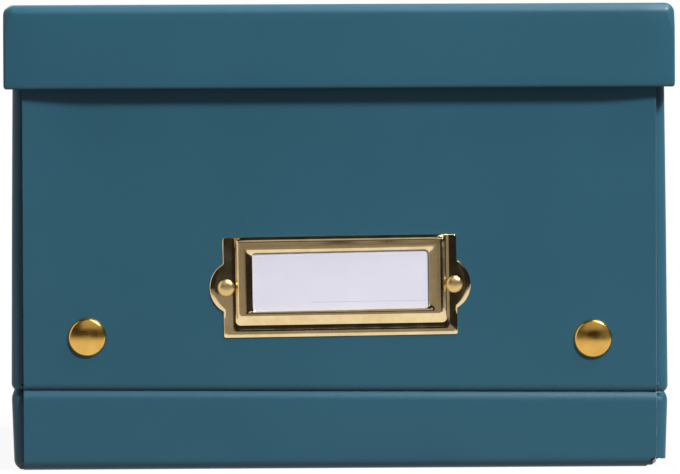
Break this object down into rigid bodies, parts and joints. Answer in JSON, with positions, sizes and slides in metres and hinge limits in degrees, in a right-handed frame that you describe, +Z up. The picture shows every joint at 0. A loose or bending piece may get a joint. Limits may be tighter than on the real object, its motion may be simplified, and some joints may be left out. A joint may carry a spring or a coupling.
{
  "type": "storage box",
  "caption": "Rectangular covered-board storage box with a lift-off lid, press-stud corners and a riveted label frame on the front.",
  "frame": {"origin": "on the floor, under the middle of the lid", "axes": "+Z up, -Y out of the front with the label frame, +X to the right seen from the front"},
  "size_m": [0.2252, 0.287, 0.156],
  "materials": {
    "covered_board": "teal laminated covering paper with a fine bead grain, semi-matt",
    "brass": "polished, a little worn",
    "plated_steel": "dull zinc plating",
    "label_paper": "uncoated card, with one ruled line"
  },
  "bodies": {
    "box": {"tray": "covered_board", "left_wall": "covered_board", "right_wall": "covered_board", "front_wall": "covered_board", "back_wall": "covered_board", "front_stud_caps": "brass", "back_stud_caps": "brass", "stud_sockets": "brass", "label_frame": "brass", "label_rivets": "brass", "label_rivet_washers": "plated_steel"},
    "front_left_tab": {"front_left_tab": "covered_board", "front_left_tab_stud": "brass", "front_left_tab_post": "brass"},
    "front_right_tab": {"front_right_tab": "covered_board", "front_right_tab_stud": "brass", "front_right_tab_post": "brass"},
    "back_left_tab": {"back_left_tab": "covered_board", "back_left_tab_stud": "brass", "back_left_tab_post": "brass"},
    "back_right_tab": {"back_right_tab": "covered_board", "back_right_tab_stud": "brass", "back_right_tab_post": "brass"},
    "lid": {"lid": "covered_board"},
    "label": {"label_card": "label_paper"}
  },
  "joints": [
    {"name": "lid_lift", "type": "slide", "parent": "box", "child": "lid", "axis": [0, 0, 1], "range_m": [0, 0.06]},
    {"name": "label_slide", "type": "slide", "parent": "box", "child": "label", "axis": [-0.0113, 0, 0.9999], "range_m": [0, 0.034]},
    {"name": "front_left_tab_fold", "type": "hinge", "parent": "box", "child": "front_left_tab", "pos_m": [-0.1071, -0.1343, 0.0264], "axis": [0.0078, 0, 1], "range_deg": [0, 90]},
    {"name": "front_right_tab_fold", "type": "hinge", "parent": "box", "child": "front_right_tab", "pos_m": [0.1071, -0.1343, 0.0264], "axis": [0.0078, 0, -1], "range_deg": [0, 90]},
    {"name": "back_left_tab_fold", "type": "hinge", "parent": "box", "child": "back_left_tab", "pos_m": [-0.1071, 0.1343, 0.0264], "axis": [-0.0078, 0, -1], "range_deg": [0, 90]},
    {"name": "back_right_tab_fold", "type": "hinge", "parent": "box", "child": "back_right_tab", "pos_m": [0.1071, 0.1343, 0.0264], "axis": [-0.0078, 0, 1], "range_deg": [0, 90]}
  ]
}
